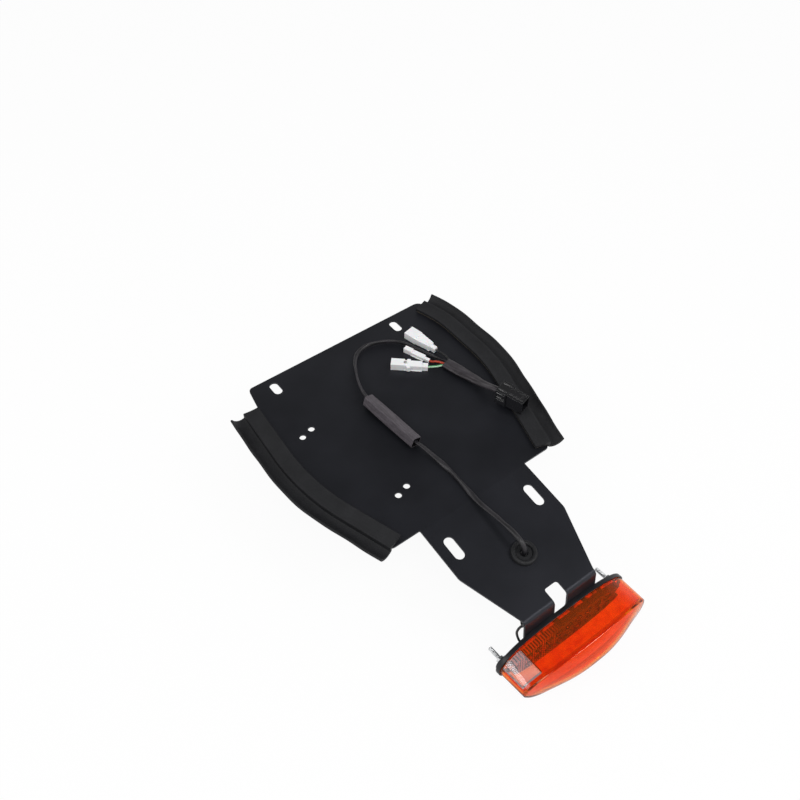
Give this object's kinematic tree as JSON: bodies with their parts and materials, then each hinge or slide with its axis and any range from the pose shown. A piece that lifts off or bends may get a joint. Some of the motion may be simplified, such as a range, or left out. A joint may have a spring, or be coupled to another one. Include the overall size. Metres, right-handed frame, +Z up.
{
  "type": "tail tidy",
  "caption": "Folded black tail plate with rubber edge seals, an orange tail lamp on its rear flange and a wiring harness, for bolting under a motorcycle seat.",
  "frame": {"origin": "on the sheet's top face, midway between the two front slots", "axes": "+X to the right of the machine, +Y to its front, +Z up, square to the flat front part of the sheet"},
  "size_m": [0.2842, 0.4035, 0.0946],
  "materials": {
    "sheet": "satin black powder coat",
    "edge_rubber": "matt extruded rubber",
    "tape": "thin adhesive tape",
    "grommet_rubber": "moulded rubber",
    "lamp_base": "moulded black plastic",
    "lamp_housing": "dark ribbed moulding",
    "lens": "clear orange plastic",
    "window": "clear plastic",
    "board": "circuit board",
    "led": "clear epoxy",
    "plated": "bright zinc plate",
    "sleeve": "soft black sleeving",
    "box_sleeve": "dark brown-black sleeve",
    "branch_sleeve": "grey-black sleeve",
    "wire_green": "wire insulation",
    "wire_red": "wire insulation",
    "wire_black": "wire insulation",
    "nylon_white": "natural nylon",
    "connector_black": "moulded black plastic",
    "terminal": "stamped brass"
  },
  "bodies": {
    "root": {"tail_plate": "sheet", "left_edge_seal": "edge_rubber", "right_edge_seal": "edge_rubber", "left_seal_tape": "tape", "right_seal_tape": "tape", "cable_grommet": "grommet_rubber", "lamp_base": "lamp_base", "lamp_gasket": "grommet_rubber", "lamp_inner_housing": "lamp_housing", "lamp_led_board": "board", "lamp_leds": "led", "lamp_lens": "lens", "lamp_window": "window", "lamp_studs": "plated", "stud_washers": "plated", "stud_nuts": "plated", "lamp_lead": "wire_black", "harness_lead": "sleeve", "box_sleeve": "box_sleeve", "loop_lead": "sleeve", "branch_sleeve": "branch_sleeve", "green_wire": "wire_green", "red_wire": "wire_red", "black_wire": "wire_black", "left_white_connector": "nylon_white", "slim_white_connector": "nylon_white", "right_white_connector": "nylon_white", "white_terminals": "terminal", "main_connector": "connector_black", "main_connector_latch": "connector_black", "main_terminals": "terminal"}
  },
  "joints": []
}
